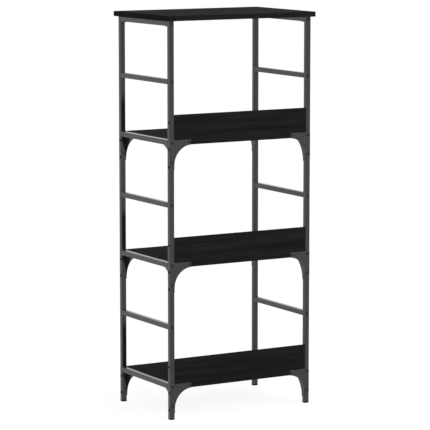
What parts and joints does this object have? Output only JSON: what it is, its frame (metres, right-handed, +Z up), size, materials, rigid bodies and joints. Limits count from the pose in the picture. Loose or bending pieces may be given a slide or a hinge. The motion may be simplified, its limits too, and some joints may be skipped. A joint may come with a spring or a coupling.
{
  "type": "open shelf unit",
  "caption": "Tall open shelf unit: bolted square-tube side frames, a top board and shelves, each with an upstand board along its front and gusset plates at its corners.",
  "frame": {"origin": "on the floor, under the middle of the unit", "axes": "+Z up, +X to the right, -Y is the front, where the upstands are"},
  "size_m": [0.5, 0.335, 1.183],
  "materials": {
    "frame_metal": "black satin powder coat, fine orange-peel texture",
    "black_board": "black wood-grain laminate on particle board, low sheen",
    "black_plastic": "matt moulded plastic",
    "black_fasteners": "black oxide steel",
    "insert_steel": "plain zinc-plated steel"
  },
  "bodies": {
    "root": {"post_front_left": "frame_metal", "post_front_right": "frame_metal", "post_back_left": "frame_metal", "post_back_right": "frame_metal", "foot_plug_front_left": "black_plastic", "foot_plug_front_right": "black_plastic", "foot_plug_back_left": "black_plastic", "foot_plug_back_right": "black_plastic", "top_rail_left": "frame_metal", "top_rail_right": "frame_metal", "shelf_rail_left_1": "frame_metal", "shelf_rail_left_2": "frame_metal", "shelf_rail_left_3": "frame_metal", "shelf_rail_right_1": "frame_metal", "shelf_rail_right_2": "frame_metal", "shelf_rail_right_3": "frame_metal", "crossbar_left_1": "frame_metal", "crossbar_left_2": "frame_metal", "crossbar_left_3": "frame_metal", "crossbar_right_1": "frame_metal", "crossbar_right_2": "frame_metal", "crossbar_right_3": "frame_metal", "gusset_front_left_1": "frame_metal", "gusset_front_left_2": "frame_metal", "gusset_front_left_3": "frame_metal", "gusset_front_right_1": "frame_metal", "gusset_front_right_2": "frame_metal", "gusset_front_right_3": "frame_metal", "gusset_back_left_1": "frame_metal", "gusset_back_left_2": "frame_metal", "gusset_back_left_3": "frame_metal", "gusset_back_right_1": "frame_metal", "gusset_back_right_2": "frame_metal", "gusset_back_right_3": "frame_metal", "side_gusset_front_left_1": "frame_metal", "side_gusset_front_left_2": "frame_metal", "side_gusset_front_left_3": "frame_metal", "side_gusset_front_right_1": "frame_metal", "side_gusset_front_right_2": "frame_metal", "side_gusset_front_right_3": "frame_metal", "side_gusset_back_left_1": "frame_metal", "side_gusset_back_left_2": "frame_metal", "side_gusset_back_left_3": "frame_metal", "side_gusset_back_right_1": "frame_metal", "side_gusset_back_right_2": "frame_metal", "side_gusset_back_right_3": "frame_metal", "top_board": "black_board", "shelf_1": "black_board", "shelf_2": "black_board", "shelf_3": "black_board", "upstand_1": "black_board", "upstand_2": "black_board", "upstand_3": "black_board", "rail_end_inserts": "insert_steel", "frame_bolts": "black_fasteners", "gusset_bolts": "black_fasteners", "shelf_edge_screws": "black_fasteners", "upstand_screws": "black_fasteners", "top_board_screws": "black_fasteners"}
  },
  "joints": []
}
